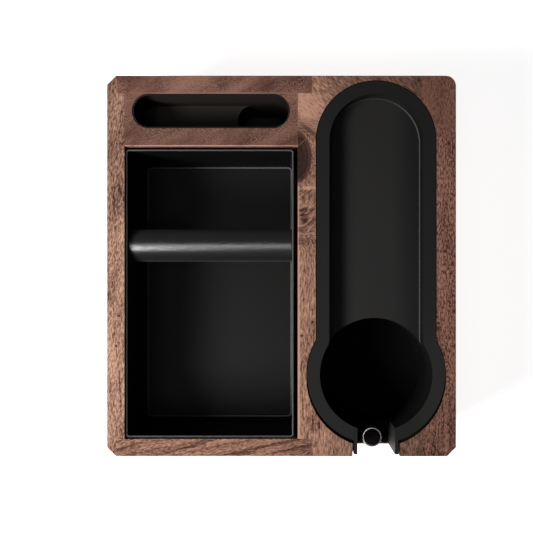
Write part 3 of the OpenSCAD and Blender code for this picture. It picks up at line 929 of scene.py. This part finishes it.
def build_liner(plastic):
    y = (LINER_LO.y + LINER_HI.y) / 2
    r = (LINER_HI.y - LINER_LO.y) / 2
    x0, x1 = LINER_LO.x, LINER_HI.x
    shelf_z = TOP - SHELF_DEPTH
    fillet = 1.2 * MM
    liner = prism("tool_slot_liner_moulding", lambda d: stadium(x0, x1, y, r, d),
                  rounded_profile(shelf_z - LINER_T, LINER_HI.z, low_r=fillet))
    well_body = prism("well_body", lambda d: stadium(x1 - WELL_L, x1, y, r, d),
                      rounded_profile(LINER_LO.z, shelf_z, low_r=fillet))
    union(liner, well_body)
    t = LINER_T
    shelf = prism("shelf", lambda d: stadium(x0 + t, x1 - t, y, r - t, d),
                  rounded_profile(shelf_z, TOP + ABOVE, low_r=fillet))
    well = prism("well", lambda d: stadium(x1 - WELL_L + t, x1 - t, y, r - t, d),
                 rounded_profile(LINER_LO.z + t, shelf_z + 3 * MM, low_r=fillet))
    cut(liner, shelf, well)
    discard(shelf, well)
    ease(liner, 0.38 * MM, segments=4)
    finish_piece(liner, "stand", "moulded_plastic", plastic, "tool_slot_liner")


# ---- knock bin ----


def build_bin(steel, bar_rubber, zinc):
    core_lo, core_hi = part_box("knock_bar_core")
    sleeve_lo, sleeve_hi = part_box("knock_bar_sleeve")
    y, z = (core_lo.y + core_hi.y) / 2, (core_lo.z + core_hi.z) / 2
    build_bin_shell(steel, y, z)

    def turned(name, pairs, steps, closed=False):
        return smooth(loft(name, rings_about_x(y, z, pairs, steps), closed))

    core_r = (core_hi.z - core_lo.z) / 2
    chamfer = 0.3 * MM
    core = turned("knock_bar_steel", [
        (core_lo.x, BAR_SPIGOT_R - chamfer), (core_lo.x + chamfer, BAR_SPIGOT_R),
        (core_lo.x + SHEET_T, BAR_SPIGOT_R), (core_lo.x + SHEET_T, core_r),
        (core_hi.x - SHEET_T, core_r), (core_hi.x - SHEET_T, BAR_SPIGOT_R),
        (core_hi.x - chamfer, BAR_SPIGOT_R), (core_hi.x, BAR_SPIGOT_R - chamfer),
    ], 64)
    finish_piece(core, "knock_bin", "zinc_steel", zinc, "knock_bar_core")

    bar_r = (sleeve_hi.z - sleeve_lo.z) / 2
    lip = 0.4 * MM
    left = arc(sleeve_lo.x + lip, bar_r - lip, lip, 180, 90, 6)
    right = arc(sleeve_hi.x - lip, bar_r - lip, lip, 90, 0, 6)
    inside = core_r + 0.02 * MM
    sleeve = turned("knock_bar_rubber", [
        (sleeve_lo.x, inside), *left, *right, (sleeve_hi.x, inside),
    ], 128, closed=True)
    finish_piece(sleeve, "knock_bin", "bar_rubber", bar_rubber, "knock_bar_sleeve")


def build_bin_shell(steel, bar_y, bar_z):
    """Sheet with a rolled rim, holes for the bar, and inner corners that widen from rim to floor."""
    t = SHEET_T
    rim = t / 2
    z0, z1 = BIN_LO.z, BIN_HI.z
    rim_r, floor_r = 2.0 * MM, 3.8 * MM

    def ring(offset, z, r):
        outline = rounded_rectangle(BIN_LO.x, BIN_HI.x, BIN_LO.y, BIN_HI.y, r, offset, 8)
        return at_height(outline, z)

    outer, inner = OUTER_FILLET, FLOOR_FILLET
    rings = [ring(d, z, rim_r) for d, z in arc(-outer, z0 + outer, outer, -90, 0, 8)]
    rings += [ring(d, z, rim_r) for d, z in arc(-rim, z1 - rim, rim, 0, 180, 8)]
    rings += [ring(d, z, floor_r) for d, z in arc(-t - inner, z0 + t + inner, inner, 0, -90, 6)]
    shell = loft("bin_shell_pressing", rings)
    r = BAR_SPIGOT_R + FASTENER_PLAY
    ends = [(BIN_LO.x - 1 * MM, r), (BIN_HI.x + 1 * MM, r)]
    hole = loft("hole", rings_about_x(bar_y, bar_z, ends, 48))
    cut(shell, hole)
    discard(hole)
    finish_piece(smooth(shell, 30), "knock_bin", "coated_steel", steel, "bin_shell")


# ---- handle rest ----


def ring_about_rest(name, profile, steps=96, knurl=0.0):
    """A closed ring, from a loop of (radius, height). knurl is the depth of the teeth round it."""
    outer_r = max(r for r, _ in profile)
    rows = []
    for r, z in profile:
        depth = knurl if near(r, outer_r) else 0.0
        rows.append(level_ring(REST_X, REST_Y, z, [r - depth * (i % 2) for i in range(steps)]))
    return loft(name, rows, closed=True)


def build_rest(steel, brass, pad_rubber):
    cap_lo, cap_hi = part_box("rest_cap")
    nut_lo, nut_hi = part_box("rest_lock_nut")
    pad_lo, pad_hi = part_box("rest_pad")
    screw_lo, screw_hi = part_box("rest_screw")
    insert_lo, insert_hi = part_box("rest_insert")
    cap_r = (cap_hi.x - cap_lo.x) / 2
    nut_r = (nut_hi.x - nut_lo.x) / 2
    pad_r = (pad_hi.x - pad_lo.x) / 2
    screw_r = (screw_hi.x - screw_lo.x) / 2
    insert_r = (insert_hi.x - insert_lo.x) / 2
    seat_z = pad_lo.z - FASTENER_PLAY
    c = 0.35 * MM
    cap = ring_about_rest("rest_cap_turned", [
        (screw_r, cap_lo.z + c), (screw_r + c, cap_lo.z), (cap_r - c, cap_lo.z),
        (cap_r, cap_lo.z + c), (cap_r, cap_lo.z + 1.8 * MM), (cap_r - c, cap_lo.z + 2.1 * MM),
        (cap_r - c, cap_lo.z + 2.5 * MM), (cap_r, cap_lo.z + 2.8 * MM),
        (cap_r, cap_hi.z - c), (cap_r - 0.1 * MM, cap_hi.z - 0.1 * MM), (cap_r - c, cap_hi.z),
        (pad_r + FASTENER_PLAY + 0.15 * MM, cap_hi.z),
        (pad_r + FASTENER_PLAY, cap_hi.z - 0.15 * MM),
        (pad_r + FASTENER_PLAY, seat_z), (screw_r, seat_z),
    ])
    finish_piece(smooth(cap, 30), "rest_turner", "stainless_steel", steel, "rest_cap")

    nut = ring_about_rest("rest_lock_nut_knurled", [
        (screw_r + FASTENER_PLAY, nut_lo.z), (nut_r - c, nut_lo.z), (nut_r, nut_lo.z + c),
        (nut_r, nut_hi.z - c), (nut_r - c, nut_hi.z), (screw_r + FASTENER_PLAY, nut_hi.z),
    ], steps=120, knurl=0.12 * MM)
    finish_piece(smooth(nut, 30), "cradle", "stainless_steel", steel, "rest_lock_nut")

    insert = ring_about_rest("rest_insert_knurled", [
        (screw_r + FASTENER_PLAY, insert_lo.z), (insert_r - 0.2 * MM, insert_lo.z),
        (insert_r, insert_lo.z + 0.3 * MM), (insert_r, insert_hi.z - 0.3 * MM),
        (insert_r - 0.2 * MM, insert_hi.z), (screw_r + FASTENER_PLAY, insert_hi.z),
    ], knurl=0.1 * MM)
    finish_piece(smooth(insert, 30), "cradle", "brass", brass, "rest_insert")

    dome = 0.25 * MM
    edge = 0.5 * MM
    profile = [(pad_r - 0.2 * MM, pad_lo.z), (pad_r, pad_lo.z + 0.2 * MM)]
    profile += arc(pad_r - edge, pad_hi.z - dome - edge, edge, 0, 80, 5)
    profile += [(pad_r * k, pad_hi.z - dome * k * k) for k in (0.75, 0.5, 0.25, 0.02)]
    pad = smooth(lathe("rest_pad_moulding", profile))
    finish_piece(pad, "rest_top", "bar_rubber", pad_rubber, "rest_pad")

    screw = threaded_rod("rest_screw_thread", screw_r, screw_lo.z, screw_hi.z, 1.0 * MM)
    finish_piece(screw, "rest_turner", "stainless_steel", steel, "rest_screw")


def threaded_rod(name, r, z0, z1, pitch):
    """A closed rod with a single-start right-hand thread."""
    depth = 0.55 * MM
    around, per_turn = 32, 6
    rows = int((z1 - z0) / pitch * per_turn)
    rings = []
    for k in range(rows + 1):
        z = z0 + (z1 - z0) * k / rows
        taper = min(1.0, (z - z0) / pitch, (z1 - z) / pitch)
        radii = []
        for i in range(around):
            phase = (z / pitch - i / around) % 1.0
            crest = max(0.0, min(1.0, 1.6 - 3.6 * abs(phase - 0.5)))
            radii.append(r - depth * (1 - crest * taper))
        rings.append(level_ring(REST_X, REST_Y, z, radii))
    return smooth(loft(name, rings), 50)


# ---- small pieces out of sight ----


def build_hidden(plywood, zinc, beech, foot_rubber):
    floor = block("bay_floor_panel", FLOOR_LO.x, FLOOR_HI.x, FLOOR_LO.y, FLOOR_HI.y,
                  FLOOR_LO.z, FLOOR_HI.z)
    screws = []
    for lo, hi in split_boxes("floor_screws"):
        cx, cy = (lo.x + hi.x) / 2, (lo.y + hi.y) / 2
        sink = loft("sink", [
            at_height(circle(cx, cy, r + FASTENER_PLAY, 32), z) for r, z in [
                (WOOD_SCREW_HEAD_R + 0.4 * MM, lo.z - 0.4 * MM),
                (WOOD_SCREW_R, lo.z + WOOD_SCREW_HEAD_H),
                (WOOD_SCREW_R, FLOOR_HI.z + 1 * MM),
            ]
        ])
        cut(floor, sink)
        discard(sink)
        screws.append(wood_screw(cx, cy, lo.z, hi.z))
    ease(floor, 0.3 * MM, segments=2)
    finish_piece(floor, "stand", "plywood", plywood, "bay_floor")
    for screw in screws:
        finish_piece(screw, "stand", "zinc_steel", zinc, "floor_screws")

    for i, (lo, hi) in enumerate(split_boxes("joint_dowels")):
        dowel = fluted_dowel(f"joint_dowel_{i + 1}", lo, hi)
        finish_piece(dowel, "stand", "beech", beech, "joint_dowels")

    for place in ("front_left", "front_right", "rear_left", "rear_right"):
        lo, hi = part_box("foot_" + place)
        cx, cy, r = (lo.x + hi.x) / 2, (lo.y + hi.y) / 2, (hi.x - lo.x) / 2
        edge = 0.9 * MM
        profile = [(r - 3.2 * MM, lo.z + 0.35 * MM), (r - 2.8 * MM, lo.z),
                   *arc(r - edge, lo.z + edge, edge, -90, 0, 6), (r, hi.z)]
        foot = loft("foot_pad_" + place,
                    [at_height(circle(cx, cy, rr, 48), z) for rr, z in profile])
        finish_piece(smooth(foot), "stand", "foot_rubber", foot_rubber, "foot_" + place)


def split_boxes(node):
    """The box of each separate solid in a CAD node, by the middle of each of its loose parts."""
    bm = bmesh.new()
    bm.from_mesh(frame["nodes"][node].data)
    bmesh.ops.remove_doubles(bm, verts=bm.verts, dist=0.001 * MM)
    left, boxes = set(bm.verts), []
    while left:
        part, edge = set(), [left.pop()]
        while edge:
            v = edge.pop()
            part.add(v)
            for e in v.link_edges:
                w = e.other_vert(v)
                if w in left:
                    left.discard(w)
                    edge.append(w)
        lo = Vector([min(v.co[k] for v in part) for k in range(3)])
        hi = Vector([max(v.co[k] for v in part) for k in range(3)])
        boxes.append((lo, hi))
    bm.free()
    return sorted(boxes, key=lambda b: tuple(round(c, 4) for c in b[0]))


def wood_screw(cx, cy, z0, z1):
    """A countersunk screw with a cross recess, point up."""
    depth = 1.4 * MM
    thread, pitch = 0.45 * MM, 1.6 * MM
    around = 32
    r = WOOD_SCREW_R
    head = [
        (0.3 * MM, z0 + depth), (1.2 * MM, z0 + 0.9 * depth), (1.5 * MM, z0),
        (WOOD_SCREW_HEAD_R - 0.1 * MM, z0), (WOOD_SCREW_HEAD_R, z0 + 0.15 * MM),
        (r, z0 + WOOD_SCREW_HEAD_H),
    ]
    rings = []
    for k, (rr, z) in enumerate(head):
        radii = [rr] * around
        if k in (1, 2):
            turns = [4 * math.pi * i / around for i in range(around)]
            radii = [rr * (0.55 + 0.45 * abs(math.cos(a)) ** 3) for a in turns]
        rings.append(level_ring(cx, cy, z, radii))
    z = z0 + WOOD_SCREW_HEAD_H
    rows = int((z1 - z) / pitch * 8)
    for k in range(1, rows + 1):
        zz = z + (z1 - z) * k / rows
        point = min(1.0, (z1 - zz) / (3.5 * MM) + 0.06)
        start = min(1.0, k / 16)
        radii = []
        for i in range(around):
            phase = (zz / pitch - i / around) % 1.0
            crest = max(0.0, 1 - 5 * abs(phase - 0.5))
            radii.append((r - thread * start * (1 - crest)) * point)
        rings.append(level_ring(cx, cy, zz, radii))
    name = f"floor_screw_{int(cx * 1e3)}_{int(cy * 1e3)}".replace("-", "m")
    return smooth(loft(name, rings), 35)


def fluted_dowel(name, lo, hi):
    r = (hi.z - lo.z) / 2
    y, z = (lo.y + hi.y) / 2, (lo.z + hi.z) / 2
    c = 0.8 * MM
    rings = []
    for x, rr in [(lo.x, r - c), (lo.x + c, r), (hi.x - c, r), (hi.x, r - c)]:
        ring = []
        for i in range(60):
            a = 2 * math.pi * i / 60
            flute = 0.2 * MM if i % 3 == 0 else 0.0
            ring.append((x, y + (rr - flute) * math.cos(a), z + (rr - flute) * math.sin(a)))
        rings.append(ring)
    return smooth(loft(name, rings), 30)


# ---- stage ----


def build_stage():
    reach = 6.0
    outline = [(-reach, -reach), (reach, -reach), (reach, reach), (-reach, reach)]
    floor = loft("studio_floor", [at_height(outline, -0.01), at_height(outline, 0.0)])
    n = Nodes("studio_floor_paper")
    paper = (0.94, 0.94, 0.94, 1)
    floor.data.materials.append(n.set(Base_Color=paper, Roughness=0.9, Emission_Color=paper,
                                      Emission_Strength=0.92))

    world = bpy.data.worlds.new("studio")
    world.use_nodes = True
    background = world.node_tree.nodes["Background"]
    background.inputs[0].default_value = (1.0, 1.0, 1.0, 1)
    background.inputs[1].default_value = 0.02
    bpy.context.scene.world = world

    key = area_light("key", (-0.363, -0.197, 0.602), (0.32, 0.18), 4.5)
    key.shape = "RECTANGLE"
    area_light("overhead", (-0.11, -0.17, 1.6), (0.6, 0.6), 1.6)


def area_light(name, place, size, power):
    data = bpy.data.lights.new(name, "AREA")
    data.shape = "ELLIPSE"
    data.size, data.size_y = size
    data.energy = power
    light = new_object(name, data)
    light.location = place
    aim = Vector((0, 0, TOP)) - Vector(place)
    light.rotation_euler = aim.to_track_quat("-Z", "Y").to_euler()
    return data


def build_camera():
    data = bpy.data.cameras.new("camera")
    data.sensor_width = 36.0
    above_top = 0.600
    width_seen = 0.3207
    data.lens = data.sensor_width * above_top / width_seen
    data.shift_x = -0.0437
    data.shift_y = 0.0302
    camera = new_object("camera", data)
    camera.location = (0.005, -0.010, TOP + above_top)
    bpy.context.scene.camera = camera
    bpy.context.scene.view_settings.view_transform = "Standard"


def main():
    build_camera()
    build_stage()
    zinc = metal("zinc_plate", (0.6, 0.6, 0.6, 1), 0.35)
    stainless = metal("stainless", (0.62, 0.59, 0.57, 1), 0.28)
    brass = metal("brass_turned", (0.72, 0.5, 0.2, 1), 0.3)
    build_timber()
    build_cradle(cradle_plastic("cradle_moulding"))
    build_liner(liner_plastic("liner_moulding", (0.038, 0.031, 0.028, 1)))
    build_bin(coated_steel("black_powder_coat"), extruded_rubber("bar_rubber"), zinc)
    build_rest(stainless, brass, rubber("pad_rubber", 0.003, 0.6, 0.15))
    build_hidden(
        plain_wood("floor_plywood", (0.2, 0.12, 0.07, 1), (0.4, 0.27, 0.16, 1), (0.05, 1.2, 2.5)),
        zinc,
        plain_wood("dowel_beech", (0.45, 0.3, 0.17, 1), (0.65, 0.47, 0.3, 1), (0.1, 3.0, 3.0)),
        rubber("foot_silicone", 0.02, 0.6),
    )


main()
